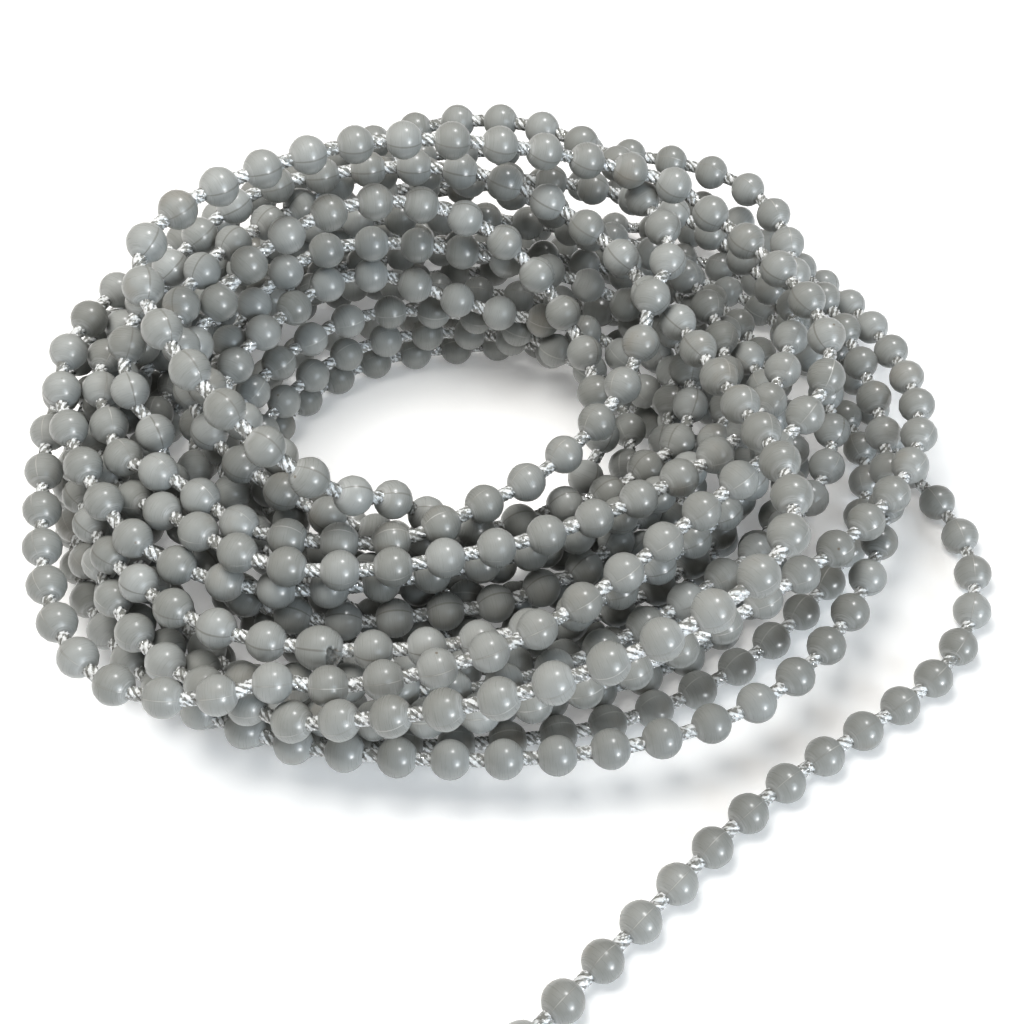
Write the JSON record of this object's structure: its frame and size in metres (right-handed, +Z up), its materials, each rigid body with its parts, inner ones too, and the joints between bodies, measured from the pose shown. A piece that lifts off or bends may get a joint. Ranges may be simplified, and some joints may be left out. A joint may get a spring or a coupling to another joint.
{
  "type": "roller blind chain",
  "caption": "Plastic ball chain for a roller blind: balls moulded on a twisted cord, laid down in a loose coil with one end free.",
  "frame": {"origin": "middle of the bounding box, on the surface that the coil lies on", "axes": "+Z up from that surface; +X to the right of the picture and +Y away from the camera; the free end points to -X and -Y"},
  "size_m": [0.1202, 0.1382, 0.0437],
  "materials": {
    "balls": "light warm grey moulded plastic with a satin gloss",
    "cord": "glossy clear white twisted polyester cord"
  },
  "bodies": {
    "root": {"free_end": "balls", "turn_01": "balls", "turn_02": "balls", "turn_03": "balls", "turn_04": "balls", "turn_05": "balls", "turn_06": "balls", "turn_07": "balls", "turn_08": "balls", "turn_09": "balls", "turn_10": "balls", "turn_11": "balls", "turn_12": "balls", "turn_13": "balls", "turn_14": "balls", "turn_15": "balls", "turn_16": "balls", "turn_17": "balls", "turn_18": "balls", "turn_19": "balls", "turn_20": "balls", "turn_21": "balls"}
  },
  "joints": []
}
